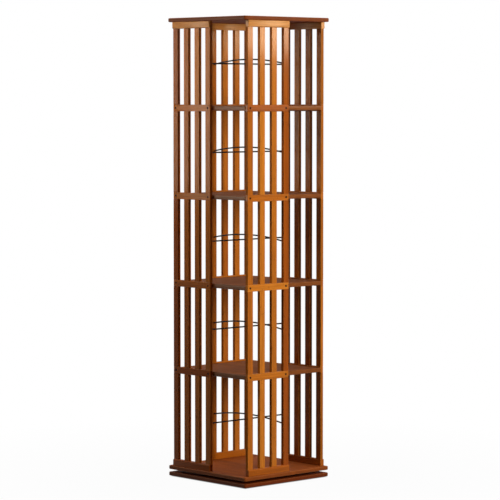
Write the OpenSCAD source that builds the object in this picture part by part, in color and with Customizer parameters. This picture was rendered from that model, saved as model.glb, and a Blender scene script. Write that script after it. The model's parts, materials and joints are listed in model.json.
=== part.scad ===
// Revolving bookcase: a square case of five tiers that turns on a ring of bearing balls.
// Sizes are in millimetres, +Z is up, and the origin is on the floor under the turning axis.
// Four slatted panels stand against the shelves' edges like the vanes of a pinwheel,
// so that every face is slatted on its left half and open on its right half.

/* [Boards] */
// Side of the square top, bottom and base boards
board_side = 400; // [360:1:460]
// Thickness of the top board
top_t = 14; // [12:0.5:20]
// Thickness of the turning bottom board
bottom_t = 14; // [12:0.5:20]
// Thickness of the base board
base_t = 14; // [11:0.5:20]
// Rounding along the edges of the three boards
board_edge_r = 3.5; // [1:0.5:5]
// Rounding of the three boards' upright corners
board_corner_r = 6; // [2:0.5:12]

/* [Shelves and tiers] */
// Thickness of a shelf
shelf_t = 15; // [12:0.5:18]
// Clear height of the lowest tier
low_tier_h = 332.5; // [250:0.5:360]
// Clear height of each of the three middle tiers
mid_tier_h = 292; // [230:0.5:340]
// Clear height of the highest tier
high_tier_h = 291.5; // [230:0.5:340]
// Rounding along the open edges of a shelf
shelf_edge_r = 2.5; // [0.5:0.5:5]

/* [Slatted panels] */
// Distance from the edge of the boards in to the face of the slats
overhang = 8; // [7:0.5:25]
// Width of a panel
panel_w = 192; // [160:1:210]
// Slats across a panel
slat_count = 4; // [3:1:5]
// Width of a slat
slat_w = 24; // [18:0.5:30]
// Thickness of a slat and of the rails at the shelves
slat_t = 12; // [11:0.5:18]
// Rounding along the edges of a slat
slat_edge_r = 1.5; // [0.5:0.5:4]
// Height of a rail at a shelf
rail_h = 23.5; // [22:0.5:30]
// Height of the rails under the top board and on the bottom board
end_rail_h = 23.5; // [23:0.5:32]
// How far those two rails stand out in front of the slats
rail_proud = 4.5; // [2:0.5:6]
// Rounding of their front edge beside the slats
end_rail_r = 4; // [1:0.5:6]
// Rounding of the other edges of the rails
rail_edge_r = 1.5; // [0.5:0.5:3]
// Diameter of the round tenons at both ends of a slat
tenon_d = 7; // [5:0.5:8]
// Length of a tenon
tenon_l = 6; // [4:0.5:6.5]

/* [Stop rods] */
// Diameter of the rods that cross every tier and stop what is pushed in too far
rod_d = 5; // [4:0.5:6]
// Length of a rod's end in its slat
rod_hold = 6; // [4:0.5:8]
// Rise of the bowed rod over the straight one that it crosses
rod_rise = 16; // [10:0.5:25]

/* [Screws] */
// Shank diameter of the screws that hold the case together
screw_d = 4; // [3:0.25:4.5]
// Length of those screws below the head
screw_l = 28; // [24:0.5:30]
// Length of their point
screw_tip_l = 4; // [2:0.5:6]
// Diameter of their head
head_d = 7; // [6:0.25:7.5]
// Height of their head
head_h = 2.4; // [1.8:0.1:2.8]
// Width across the corners of the hexagon socket
socket_d = 3.4; // [2.5:0.1:4]
// Depth of the hexagon socket
socket_depth = 1.5; // [1:0.1:1.6]
// Depth of the counterbore that sinks the head
bore_depth = 3; // [2.5:0.1:3.5]

/* [Turntable] */
// Height between the base board and the bottom board
bearing_h = 9; // [8:0.5:14]
// Outer diameter of the bearing
bearing_d = 250; // [200:1:300]
// Radial width of each bearing ring
ring_w = 16; // [14:0.5:24]
// Gap between the two rings
race_gap = 2.4; // [2:0.1:3]
// Diameter of a bearing ball
ball_d = 5; // [4:0.25:5.25]
// Bearing balls in the ring
ball_count = 24; // [12:1:48]
// Wall of the ball cage
cage_t = 1; // [0.6:0.1:1.2]
// Height of the ball cage
cage_h = 7; // [6.5:0.1:7.2]
// Screws in each bearing ring
ring_screws = 6; // [3:1:8]
// Shank diameter of the ring screws
ring_screw_d = 3.5; // [2.5:0.25:4]
// Head diameter of the ring screws
ring_head_d = 6.5; // [5:0.25:7]
// Head height of the ring screws
ring_head_h = 2; // [1.5:0.1:2.4]
// Depth of their counterbore in the rings
ring_bore_depth = 2.6; // [2.5:0.1:3]
// Length of their hold in the wood
ring_screw_hold = 7; // [5:0.5:8]
// Diameter of the hole in the base for reaching the inner ring's screws
access_d = 12; // [10:0.5:14]

/* [Floor pads] */
// Diameter of a floor pad
pad_d = 30; // [20:1:50]
// Thickness of a floor pad
pad_t = 2; // [1:0.25:4]
// Distance from the edge of the base in to the middle of a pad
pad_inset = 35; // [28:1:60]

/* [Clearances] */
// Radial clearance of a tenon in its hole
tenon_fit = 0.05; // [0.02:0.01:0.2]
// Clearance at the end of a tenon
tenon_end = 0.5; // [0.2:0.1:1]
// Radial clearance of a stop rod in its hole
rod_fit = 0.05; // [0.02:0.01:0.2]
// Clearance at the end of a stop rod
rod_end = 0.5; // [0.2:0.1:1]
// Radial clearance of a screw shank in its hole
screw_fit = 0.05; // [0.02:0.01:0.2]
// Radial clearance of a screw head in its counterbore
head_fit = 0.25; // [0.1:0.05:0.5]
// Clearance below the point of a screw
tip_gap = 0.8; // [0.2:0.1:1]
// Clearance between a bearing ring and the board that it does not carry
run_gap = 1; // [0.5:0.1:1.5]
// Clearance of a ball in the grooves of the rings
ball_fit = 0.3; // [0.1:0.05:0.4]
// Clearance of a ball in its cage pocket
pocket_fit = 0.2; // [0.1:0.05:0.3]

/* [Hidden] */
$fn = 64;
// Facets of a full turn for the wide arc of a bowed rod
bow_fn = 720;
// A cut reaches this far past the face that it opens
past = 1;

// Planes of the slats' outer and inner faces, measured from the axis; the shelves reach to the inner one
face_out = board_side / 2 - overhang;
face_in = face_out - slat_t;
// Thickness of the rails at the top and the bottom, and the middle of that thickness
end_rail_t = slat_t + rail_proud;
end_rail_mid = face_in + end_rail_t / 2;
slat_mid = face_out - slat_t / 2;

// Heights of the boards' faces
base_z = pad_t;
base_top = base_z + base_t;
bottom_z = base_top + bearing_h;
bottom_top = bottom_z + bottom_t;
first_shelf = bottom_top + low_tier_h + shelf_t / 2;
shelf_pitch = mid_tier_h + shelf_t;
function shelf_mid(i) = first_shelf + (i - 1) * shelf_pitch;
top_z = shelf_mid(4) + shelf_t / 2 + high_tier_h;
top_top = top_z + top_t;

// Slat places across a panel, from its left end seen from outside
slat_pitch = (panel_w - slat_w) / (slat_count - 1);
function slat_x(n) = -face_in + slat_w / 2 + n * slat_pitch;
// The shelf screws go through the rails on the first and the last slat line
shelf_screw_x = [slat_x(0), slat_x(slat_count - 1)];
// The board screws go into the end rails between the outer slats, clear of the tenons
board_screw_x = [slat_x(0.5), slat_x(slat_count - 1.5)];
// Foot and head of the slats of one tier, counted from the bottom
function slat_foot(i) = i == 1 ? bottom_top + end_rail_h : shelf_mid(i - 1) + rail_h / 2;
function slat_head(i) = i == 5 ? top_z - end_rail_h : shelf_mid(i) - rail_h / 2;

// Middle of the clear height of one tier, where its stop rods are
function tier_floor(i) = i == 1 ? bottom_top : shelf_mid(i - 1) + shelf_t / 2;
function tier_ceiling(i) = i == 5 ? top_z : shelf_mid(i) - shelf_t / 2;
function tier_mid(i) = (tier_floor(i) + tier_ceiling(i)) / 2;
// A stop rod joins the last slats of two opposite panels through the axis
rod_yaw = atan(slat_x(slat_count - 1) / face_in);
rod_half = face_in / cos(rod_yaw);
bow_r = (rod_half * rod_half + rod_rise * rod_rise) / (2 * rod_rise);

// Bearing: ball circle, ring height and screw circles
race_r = bearing_d / 2 - ring_w - race_gap / 2;
ring_h = bearing_h - run_gap;
groove_r = ball_d / 2 + ball_fit;
groove_depth = groove_r - race_gap / 2;
outer_screw_r = race_r + race_gap / 2 + (ring_w + groove_depth) / 2;
inner_screw_r = race_r - race_gap / 2 - (ring_w + groove_depth) / 2;
ring_screw_l = ring_h - ring_bore_depth + ring_screw_hold;

board_colour = "peru";
shelf_colour = "burlywood";
rail_colour = "sienna";
slat_colour = "chocolate";
ring_colour = "silver";
screw_colour = "dimgray";

// Turns a piece of the front panel round to one of the four faces
module on_face(k) {
  rotate([0, 0, 90 * k])
    children();
}

// Flat outline of a rectangle with four equal round corners, centred
module rounded_rect(w, h, r) {
  square([w - 2 * r, h], center = true);
  square([w, h - 2 * r], center = true);
  for (sx = [-1, 1], sy = [-1, 1])
    translate([sx * (w / 2 - r), sy * (h / 2 - r)])
      circle(r = r);
}

// Block whose edges are rounded all round, resting on z = 0 and centred on the axis
module eased_block(w, d, h, plan_r, edge_r) {
  intersection() {
    linear_extrude(h)
      rounded_rect(w, d, plan_r);
    translate([0, d / 2, h / 2])
      rotate([90, 0, 0])
        linear_extrude(d)
          rounded_rect(w, h, edge_r);
    translate([-w / 2, 0, h / 2])
      rotate([90, 0, 90])
        linear_extrude(w)
          rounded_rect(d, h, edge_r);
  }
}

// Square board with round edges, resting on z = 0
module board(t) {
  eased_block(board_side, board_side, t, board_corner_r, board_edge_r);
}

// Screw with its head's seat at z = 0, the shank below and the head above
module turned_screw(d, l, tip_l, top_d, top_h) {
  difference() {
    rotate_extrude()
      polygon([
        [0, -l],
        [d / 10, -l],
        [d / 2, tip_l - l],
        [d / 2, 0],
        [top_d / 2, 0],
        [top_d / 2, top_h * 0.7],
        [top_d / 2 - top_h * 0.3, top_h],
        [0, top_h]
      ]);
    translate([0, 0, top_h - socket_depth])
      linear_extrude(socket_depth + past)
        circle(d = socket_d, $fn = 6);
  }
}

// Stepped hole for that screw, with a counterbore above z = 0
module screw_hole(d, l, top_d, depth) {
  translate([0, 0, -l - tip_gap])
    cylinder(d = d + 2 * screw_fit, h = l + tip_gap + depth);
  cylinder(d = top_d + 2 * head_fit, h = depth + past);
}

module case_screw() {
  turned_screw(screw_d, screw_l, screw_tip_l, head_d, head_h);
}

module case_screw_hole() {
  screw_hole(screw_d, screw_l, head_d, bore_depth);
}

module ring_screw() {
  turned_screw(ring_screw_d, ring_screw_l, screw_tip_l / 2, ring_head_d, ring_head_h);
}

module ring_screw_hole() {
  screw_hole(ring_screw_d, ring_screw_l, ring_head_d, ring_bore_depth);
}

// Places of the screws that go through the front panel's rail into shelf i
module at_shelf_screws(i) {
  for (x = shelf_screw_x)
    translate([x, bore_depth - face_out, shelf_mid(i)])
      rotate([90, 0, 0])
        children();
}

// Places of the screws that go down through the top board into the front panel's rail
module at_top_screws() {
  for (x = board_screw_x)
    translate([x, -end_rail_mid, top_top - bore_depth])
      children();
}

// Places of the screws that go up through the bottom board into the front panel's rail
module at_bottom_screws() {
  for (x = board_screw_x)
    translate([x, -end_rail_mid, bottom_z + bore_depth])
      mirror([0, 0, 1])
        children();
}

// Places of the screws in the two bearing rings
module at_outer_ring_screws() {
  for (n = [0 : ring_screws - 1])
    rotate([0, 0, n * 360 / ring_screws])
      translate([outer_screw_r, 0, base_top + ring_h - ring_bore_depth])
        children();
}

module at_inner_ring_screws() {
  for (n = [0 : ring_screws - 1])
    rotate([0, 0, n * 360 / ring_screws])
      translate([inner_screw_r, 0, bottom_z - ring_h + ring_bore_depth])
        mirror([0, 0, 1])
          children();
}

// Places of the bearing balls
module at_balls() {
  for (n = [0 : ball_count - 1])
    rotate([0, 0, n * 360 / ball_count])
      translate([race_r, 0, base_top + bearing_h / 2])
        children();
}

// Section of the ball groove, at its place in the half plane of a revolve
module groove_section() {
  translate([race_r, bearing_h / 2])
    circle(r = groove_r);
}

// Cut that rounds the open edge of a shelf beside the front panel, on the upper side
module open_edge_cut() {
  open_l = 2 * face_in - panel_w;
  translate([panel_w - face_in, -face_in, shelf_t / 2])
    rotate([90, 0, 90])
      linear_extrude(open_l + past)
        difference() {
          translate([-past, -shelf_edge_r])
            square([shelf_edge_r + past, shelf_edge_r + past]);
          translate([shelf_edge_r, -shelf_edge_r])
            circle(r = shelf_edge_r);
        }
}

// Shelf i, square inside the four panels and drilled for their screws
module shelf(i) {
  difference() {
    translate([0, 0, shelf_mid(i)])
      difference() {
        translate([0, 0, -shelf_t / 2])
          linear_extrude(shelf_t)
            square(2 * face_in, center = true);
        for (k = [0 : 3])
          on_face(k) {
            open_edge_cut();
            mirror([0, 0, 1])
              open_edge_cut();
          }
      }
    for (k = [0 : 3])
      on_face(k)
        at_shelf_screws(i)
          case_screw_hole();
  }
}

// Rail of the front panel at shelf i, with tenon holes above and below
module shelf_rail(i) {
  difference() {
    translate([panel_w / 2 - face_in, -slat_mid, shelf_mid(i) - rail_h / 2])
      eased_block(panel_w, slat_t, rail_h, rail_edge_r, rail_edge_r);
    for (n = [0 : slat_count - 1])
      translate([slat_x(n), -slat_mid, shelf_mid(i)])
        for (up = [0, 1])
          mirror([0, 0, up])
            translate([0, 0, rail_h / 2 - tenon_l - tenon_end])
              tenon_hole();
    at_shelf_screws(i)
      case_screw_hole();
  }
}

// Hole for a tenon, from its floor upward
module tenon_hole() {
  cylinder(d = tenon_d + 2 * tenon_fit, h = tenon_l + tenon_end + past);
}

// Section of an end rail: depth across, height up, and the front edge beside the slats rounded
module end_rail_section() {
  translate([-face_in - end_rail_t, 0])
    square([end_rail_t, end_rail_h - end_rail_r]);
  translate([-face_in - end_rail_t + end_rail_r, 0])
    square([end_rail_t - end_rail_r, end_rail_h]);
  translate([-face_in - end_rail_t + end_rail_r, end_rail_h - end_rail_r])
    circle(r = end_rail_r);
}

// End rail of the front panel standing on z = 0, with its tenon holes on top
module end_rail() {
  difference() {
    intersection() {
      translate([-face_in, 0, 0])
        rotate([90, 0, 90])
          linear_extrude(panel_w)
            end_rail_section();
      translate([panel_w / 2 - face_in, -end_rail_mid, 0])
        linear_extrude(end_rail_h)
          rounded_rect(panel_w, end_rail_t, rail_edge_r);
    }
    for (n = [0 : slat_count - 1])
      translate([slat_x(n), -slat_mid, end_rail_h - tenon_l - tenon_end])
        tenon_hole();
  }
}

module low_rail() {
  difference() {
    translate([0, 0, bottom_top])
      end_rail();
    at_bottom_screws()
      case_screw_hole();
  }
}

module high_rail() {
  difference() {
    translate([0, 0, top_z])
      mirror([0, 0, 1])
        end_rail();
    at_top_screws()
      case_screw_hole();
  }
}

// Straight stop rod along Y through the axis, which goes on past the slats' inner faces
module straight_rod(d, hold) {
  rotate([90, 0, 0])
    cylinder(d = d, h = 2 * (rod_half + hold), center = true);
}

// Bowed stop rod along X: an arc that meets the slats' inner faces at z = 0 and rises at the axis
module bowed_rod(d, hold) {
  section_fn = $fn;
  half_turn = asin(rod_half / bow_r) + hold / bow_r * 180 / PI;
  translate([0, 0, rod_rise - bow_r])
    rotate([90, 0, 0])
      rotate([0, 0, 90 - half_turn])
        rotate_extrude(angle = 2 * half_turn, $fn = bow_fn)
          translate([bow_r, 0])
            circle(d = d, $fn = section_fn);
}

// Hole of a stop rod in the last slat of the front panel
module rod_hole(bowed) {
  rotate([0, 0, rod_yaw])
    if (bowed)
      rotate([0, 0, 90])
        bowed_rod(rod_d + 2 * rod_fit, rod_hold + rod_end);
    else
      straight_rod(rod_d + 2 * rod_fit, rod_hold + rod_end);
}

// Slat of tier i with a round tenon at both ends
module slat(i) {
  slat_h = slat_head(i) - slat_foot(i);
  translate([0, 0, slat_foot(i)]) {
    linear_extrude(slat_h)
      rounded_rect(slat_w, slat_t, slat_edge_r);
    translate([0, 0, -tenon_l])
      cylinder(d = tenon_d, h = slat_h + 2 * tenon_l);
  }
}

// Slats of the front panel in tier i; the last one is drilled for the end of a stop rod
module tier_slats(i, bowed) {
  for (n = [0 : slat_count - 2])
    translate([slat_x(n), -slat_mid, 0])
      slat(i);
  difference() {
    translate([slat_x(slat_count - 1), -slat_mid, 0])
      slat(i);
    translate([0, 0, tier_mid(i)])
      rod_hole(bowed);
  }
}

module base_board() {
  color(board_colour)
    difference() {
      translate([0, 0, base_z])
        board(base_t);
      at_outer_ring_screws()
        ring_screw_hole();
      translate([inner_screw_r, 0, base_z - past])
        cylinder(d = access_d, h = base_t + 2 * past);
    }
}

module base_pads() {
  color("gray")
    for (sx = [-1, 1], sy = [-1, 1])
      translate([sx * (board_side / 2 - pad_inset), sy * (board_side / 2 - pad_inset), 0])
        cylinder(d = pad_d, h = pad_t);
}

module bearing_outer_ring() {
  color(ring_colour)
    difference() {
      translate([0, 0, base_top])
        rotate_extrude()
          difference() {
            translate([race_r + race_gap / 2, 0])
              square([ring_w, ring_h]);
            groove_section();
          }
      at_outer_ring_screws()
        ring_screw_hole();
    }
}

module outer_ring_screws() {
  color(screw_colour)
    at_outer_ring_screws()
      ring_screw();
}

module bearing_inner_ring() {
  color(ring_colour)
    difference() {
      translate([0, 0, base_top])
        rotate_extrude()
          difference() {
            translate([race_r - race_gap / 2 - ring_w, run_gap])
              square([ring_w, ring_h]);
            groove_section();
          }
      at_inner_ring_screws()
        ring_screw_hole();
    }
}

module inner_ring_screws() {
  color(screw_colour)
    at_inner_ring_screws()
      ring_screw();
}

module ball_cage() {
  color("gold")
    difference() {
      translate([0, 0, base_top + (bearing_h - cage_h) / 2])
        rotate_extrude()
          translate([race_r - cage_t / 2, 0])
            square([cage_t, cage_h]);
      at_balls()
        rotate([0, 90, 0])
          cylinder(d = ball_d + 2 * pocket_fit, h = race_gap, center = true);
    }
}

module bearing_balls() {
  color("lightgray")
    at_balls()
      sphere(d = ball_d);
}

module bottom_board() {
  color(board_colour)
    difference() {
      translate([0, 0, bottom_z])
        board(bottom_t);
      for (k = [0 : 3])
        on_face(k)
          at_bottom_screws()
            case_screw_hole();
      at_inner_ring_screws()
        ring_screw_hole();
    }
}

module shelf_1() {
  color(shelf_colour)
    shelf(1);
}

module shelf_2() {
  color(shelf_colour)
    shelf(2);
}

module shelf_3() {
  color(shelf_colour)
    shelf(3);
}

module shelf_4() {
  color(shelf_colour)
    shelf(4);
}

module top_board() {
  color(board_colour)
    difference() {
      translate([0, 0, top_z])
        board(top_t);
      for (k = [0 : 3])
        on_face(k)
          at_top_screws()
            case_screw_hole();
    }
}

module case_screws() {
  color(screw_colour)
    for (k = [0 : 3])
      on_face(k) {
        at_top_screws()
          case_screw();
        at_bottom_screws()
          case_screw();
        for (i = [1 : 4])
          at_shelf_screws(i)
            case_screw();
      }
}

module stop_rods() {
  color(screw_colour)
    for (i = [1 : 5])
      translate([0, 0, tier_mid(i)])
        rotate([0, 0, rod_yaw]) {
          straight_rod(rod_d, rod_hold);
          bowed_rod(rod_d, rod_hold);
        }
}

module front_bottom_rail() {
  color(rail_colour)
    on_face(0)
      low_rail();
}

module front_rail_1() {
  color(rail_colour)
    on_face(0)
      shelf_rail(1);
}

module front_rail_2() {
  color(rail_colour)
    on_face(0)
      shelf_rail(2);
}

module front_rail_3() {
  color(rail_colour)
    on_face(0)
      shelf_rail(3);
}

module front_rail_4() {
  color(rail_colour)
    on_face(0)
      shelf_rail(4);
}

module front_top_rail() {
  color(rail_colour)
    on_face(0)
      high_rail();
}

module right_bottom_rail() {
  color(rail_colour)
    on_face(1)
      low_rail();
}

module right_rail_1() {
  color(rail_colour)
    on_face(1)
      shelf_rail(1);
}

module right_rail_2() {
  color(rail_colour)
    on_face(1)
      shelf_rail(2);
}

module right_rail_3() {
  color(rail_colour)
    on_face(1)
      shelf_rail(3);
}

module right_rail_4() {
  color(rail_colour)
    on_face(1)
      shelf_rail(4);
}

module right_top_rail() {
  color(rail_colour)
    on_face(1)
      high_rail();
}

module back_bottom_rail() {
  color(rail_colour)
    on_face(2)
      low_rail();
}

module back_rail_1() {
  color(rail_colour)
    on_face(2)
      shelf_rail(1);
}

module back_rail_2() {
  color(rail_colour)
    on_face(2)
      shelf_rail(2);
}

module back_rail_3() {
  color(rail_colour)
    on_face(2)
      shelf_rail(3);
}

module back_rail_4() {
  color(rail_colour)
    on_face(2)
      shelf_rail(4);
}

module back_top_rail() {
  color(rail_colour)
    on_face(2)
      high_rail();
}

module left_bottom_rail() {
  color(rail_colour)
    on_face(3)
      low_rail();
}

module left_rail_1() {
  color(rail_colour)
    on_face(3)
      shelf_rail(1);
}

module left_rail_2() {
  color(rail_colour)
    on_face(3)
      shelf_rail(2);
}

module left_rail_3() {
  color(rail_colour)
    on_face(3)
      shelf_rail(3);
}

module left_rail_4() {
  color(rail_colour)
    on_face(3)
      shelf_rail(4);
}

module left_top_rail() {
  color(rail_colour)
    on_face(3)
      high_rail();
}

module front_slats_1() {
  color(slat_colour)
    on_face(0)
      tier_slats(1, false);
}

module front_slats_2() {
  color(slat_colour)
    on_face(0)
      tier_slats(2, false);
}

module front_slats_3() {
  color(slat_colour)
    on_face(0)
      tier_slats(3, false);
}

module front_slats_4() {
  color(slat_colour)
    on_face(0)
      tier_slats(4, false);
}

module front_slats_5() {
  color(slat_colour)
    on_face(0)
      tier_slats(5, false);
}

module right_slats_1() {
  color(slat_colour)
    on_face(1)
      tier_slats(1, true);
}

module right_slats_2() {
  color(slat_colour)
    on_face(1)
      tier_slats(2, true);
}

module right_slats_3() {
  color(slat_colour)
    on_face(1)
      tier_slats(3, true);
}

module right_slats_4() {
  color(slat_colour)
    on_face(1)
      tier_slats(4, true);
}

module right_slats_5() {
  color(slat_colour)
    on_face(1)
      tier_slats(5, true);
}

module back_slats_1() {
  color(slat_colour)
    on_face(2)
      tier_slats(1, false);
}

module back_slats_2() {
  color(slat_colour)
    on_face(2)
      tier_slats(2, false);
}

module back_slats_3() {
  color(slat_colour)
    on_face(2)
      tier_slats(3, false);
}

module back_slats_4() {
  color(slat_colour)
    on_face(2)
      tier_slats(4, false);
}

module back_slats_5() {
  color(slat_colour)
    on_face(2)
      tier_slats(5, false);
}

module left_slats_1() {
  color(slat_colour)
    on_face(3)
      tier_slats(1, true);
}

module left_slats_2() {
  color(slat_colour)
    on_face(3)
      tier_slats(2, true);
}

module left_slats_3() {
  color(slat_colour)
    on_face(3)
      tier_slats(3, true);
}

module left_slats_4() {
  color(slat_colour)
    on_face(3)
      tier_slats(4, true);
}

module left_slats_5() {
  color(slat_colour)
    on_face(3)
      tier_slats(5, true);
}

base_board();
base_pads();
bearing_outer_ring();
outer_ring_screws();
bearing_inner_ring();
inner_ring_screws();
ball_cage();
bearing_balls();
bottom_board();
shelf_1();
shelf_2();
shelf_3();
shelf_4();
top_board();
case_screws();
stop_rods();
front_bottom_rail();
front_rail_1();
front_rail_2();
front_rail_3();
front_rail_4();
front_top_rail();
right_bottom_rail();
right_rail_1();
right_rail_2();
right_rail_3();
right_rail_4();
right_top_rail();
back_bottom_rail();
back_rail_1();
back_rail_2();
back_rail_3();
back_rail_4();
back_top_rail();
left_bottom_rail();
left_rail_1();
left_rail_2();
left_rail_3();
left_rail_4();
left_top_rail();
front_slats_1();
front_slats_2();
front_slats_3();
front_slats_4();
front_slats_5();
right_slats_1();
right_slats_2();
right_slats_3();
right_slats_4();
right_slats_5();
back_slats_1();
back_slats_2();
back_slats_3();
back_slats_4();
back_slats_5();
left_slats_1();
left_slats_2();
left_slats_3();
left_slats_4();
left_slats_5();
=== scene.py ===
# %% [markdown]
# A revolving bookcase in stained bamboo
# A tall square case of five tiers turns on a ring of balls over a flat base board. Each face is half
# slatted and half open, and the four slatted panels stand round the shelves like the vanes of a
# pinwheel. The CAD model already says where every board, rail, slat and screw is, so this lesson
# loads it as a fixed frame and dresses it: wooden pieces get rounded skins that know which way their
# grain runs, and every piece gets a finish.

# %% Load the CAD frame
import json
import math

import bpy
import numpy as np
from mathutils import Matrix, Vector

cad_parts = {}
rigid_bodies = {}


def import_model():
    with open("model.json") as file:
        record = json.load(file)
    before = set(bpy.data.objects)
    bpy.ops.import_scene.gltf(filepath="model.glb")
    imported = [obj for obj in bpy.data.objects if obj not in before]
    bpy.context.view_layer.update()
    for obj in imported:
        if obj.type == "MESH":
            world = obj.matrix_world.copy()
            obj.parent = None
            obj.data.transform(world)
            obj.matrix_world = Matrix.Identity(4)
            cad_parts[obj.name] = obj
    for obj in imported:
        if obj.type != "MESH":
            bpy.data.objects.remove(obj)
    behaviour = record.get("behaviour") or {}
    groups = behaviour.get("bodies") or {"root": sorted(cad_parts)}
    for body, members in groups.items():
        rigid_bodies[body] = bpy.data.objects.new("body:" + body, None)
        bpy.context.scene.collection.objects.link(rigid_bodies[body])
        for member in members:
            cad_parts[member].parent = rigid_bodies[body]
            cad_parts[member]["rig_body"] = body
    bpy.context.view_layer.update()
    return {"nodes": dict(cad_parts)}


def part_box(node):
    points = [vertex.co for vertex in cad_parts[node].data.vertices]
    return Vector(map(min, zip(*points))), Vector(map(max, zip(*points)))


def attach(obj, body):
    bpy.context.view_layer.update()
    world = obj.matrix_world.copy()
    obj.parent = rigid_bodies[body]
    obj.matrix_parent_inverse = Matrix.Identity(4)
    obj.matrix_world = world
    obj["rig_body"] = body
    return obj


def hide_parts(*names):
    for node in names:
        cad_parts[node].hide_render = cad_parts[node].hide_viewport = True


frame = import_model()
nodes = frame["nodes"]
scene = bpy.context.scene
scene.view_settings.view_transform = "Standard"
MM = 0.001

# %% [markdown]
# Sizes
# A joiner would measure the parts before making new ones. The CAD boxes give the rails' length and
# section and the heights between them. Roundings and tenons cannot be read off a box, so they are
# written where they are first needed, in the same millimetres as on the drawing.


# %% Measure the panels
def span(node):
    """Lowest and highest corner of a CAD node, as two arrays."""
    low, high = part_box(node)
    return np.array(low), np.array(high)


rail_low, rail_high = span("front_rail_1")
PANEL_W, SLAT_T, RAIL_H = rail_high - rail_low
FACE_OUT = -rail_low[1]
FACE_IN = -rail_high[1]
end_low, end_high = span("front_bottom_rail")
END_T, END_H = (end_high - end_low)[1:]
print("panel width", PANEL_W, "slat thickness", SLAT_T, "rail height", RAIL_H, "end rail", END_T, END_H)

# %% [markdown]
# Outlines
# Sticks and boards are the same shape to a computer: a flat outline carried along a line, with both
# ends rounded over. An outline is an array of points, and numpy works out all of them at once, so no
# loop ever visits a single vertex. Where a rounding runs into a flat face, one extra point close by
# keeps the shading of the flat face flat.

# %% Outlines
ARC_POINTS = 5
RIM = 0.3 * MM


def rounded_rectangle(width, depth, radii):
    """Counter-clockwise rectangle with round corners: each corner's centre plus its radius times
    (cos a, sin a), for a through that corner's quarter turn, and a point RIM beyond each arc end."""
    radii = np.broadcast_to(np.asarray(radii, float), 4)
    turn = np.linspace(0, np.pi / 2, ARC_POINTS) + np.arange(4)[:, None] * np.pi / 2
    side_x, side_y = np.array([1, -1, -1, 1]), np.array([1, 1, -1, -1])
    x = (side_x * (width / 2 - radii))[:, None] + radii[:, None] * np.cos(turn)
    y = (side_y * (depth / 2 - radii))[:, None] + radii[:, None] * np.sin(turn)
    arc = np.stack([x, y], axis=-1)
    along = np.stack([-np.sin(turn), np.cos(turn)], axis=-1) * RIM
    corners = np.concatenate([arc[:, :1] - along[:, :1], arc, arc[:, -1:] + along[:, -1:]], axis=1)
    return corners.reshape(-1, 2)


def drawn_in(outline, inset):
    """The outline moved inward: every point goes along the mean of its two edges' normals, divided
    by one plus their cosine, which keeps straight edges straight."""
    edge = np.roll(outline, -1, axis=0) - outline
    edge = edge / np.linalg.norm(edge, axis=1, keepdims=True)
    inward = np.stack([-edge[:, 1], edge[:, 0]], axis=-1)
    before = np.roll(inward, 1, axis=0)
    bend = 1 + np.sum(inward * before, axis=1, keepdims=True)
    return outline + inset * (inward + before) / bend


print("points in an outline:", len(rounded_rectangle(PANEL_W, SLAT_T, RIM)))

# %% [markdown]
# Skins
# A solid is a stack of outlines. Four-sided faces join each outline to the next, and one flat face
# closes each end. A bevelled cube could give a board its round edges too, but a stack of outlines that
# are drawn in towards the ends has all its points in known places, and the arris marks of wear and
# painted highlight need those later.


# %% Skins over stacks of outlines
def skin(rings):
    """Closed skin over a stack of rings: face (i, j) joins ring i to ring i + 1 between points j and
    j + 1, and a flat face closes the first and the last ring."""
    rows, cols = rings.shape[:2]
    i, j = np.meshgrid(np.arange(rows - 1), np.arange(cols), indexing="ij")
    a, b = i * cols + j, i * cols + (j + 1) % cols
    quads = np.stack([a, b, b + cols, a + cols], axis=-1).reshape(-1, 4)
    ends = [np.arange(cols)[::-1].tolist(), (np.arange(cols) + (rows - 1) * cols).tolist()]
    return rings.reshape(-1, 3), quads.tolist() + ends


def eased_prism(outline, length, ease):
    """Outline carried from z = 0 to z = length with both ends rounded over: at the angle f of the
    rounding, the outline is drawn in by ease * (1 - sin f) at the height ease * (1 - cos f)."""
    f = np.linspace(0, np.pi / 2, ARC_POINTS)
    inset, rise = ease * (1 - np.sin(f)), ease * (1 - np.cos(f))
    insets = np.concatenate([[ease + RIM], inset, inset[::-1], [ease + RIM]])
    heights = np.concatenate([[0], rise, length - rise[::-1], [length]])
    flat = np.stack([drawn_in(outline, d) for d in insets])
    up = np.broadcast_to(heights[:, None, None], flat.shape[:2] + (1,))
    return skin(np.concatenate([flat, up], axis=-1))


def joined(skins):
    """Several skins as one: the points are stacked, and the numbers in a face grow by the count of
    all points before its own skin."""
    before = np.cumsum([0] + [len(points) for points, faces in skins])
    stack = np.concatenate([points for points, faces in skins])
    return stack, [np.add(face, n).tolist() for n, (points, faces) in zip(before, skins) for face in faces]


print("outlines in an eased prism:", 2 * (ARC_POINTS + 1))

# %% [markdown]
# Grain, wear and edge highlights
# Wood is a solid material, so its figure is laid out in the stick's own space: across the width,
# through the thickness and along the grain. Those three lengths go into an attribute called grain. A
# second attribute says which way the fibres run, for the gloss. A third marks the arrises, which get a
# paler brown that is partly stain sanded thin and partly a painted highlight along the edges. A fourth
# marks where the lacquer is dull: on the narrow sides of slats and rails, which come straight from the
# planer, and on the flat faces of boards and shelves, which are rubbed down. A UV map could carry the
# grain too, but it would need a seam at every edge.

# %% Solids that know their grain
# fibres are never quite square to a cut end, so the run of the grain leans by about a degree
SKEW = np.array([0.011, 0.017, 0.013])
IN_PLANE = 0.01 * MM
# the axes that run across, through and along the grain: a stick's is local z, a board's is local x
STICK_GRAIN, BOARD_GRAIN = [0, 1, 2], [1, 2, 0]


def arris(points, reach):
    """How near a point is to an edge, 0 to 1: closeness to each pair of the solid's outer faces is
    worked out, and the second largest of the three counts, because an edge lies on two faces."""
    low, high = points.min(axis=0), points.max(axis=0)
    depth = np.minimum(points - low, high - points)
    close = np.clip(1 - depth / reach, 0, 1)
    return np.sort(close, axis=1)[:, 1]


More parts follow.
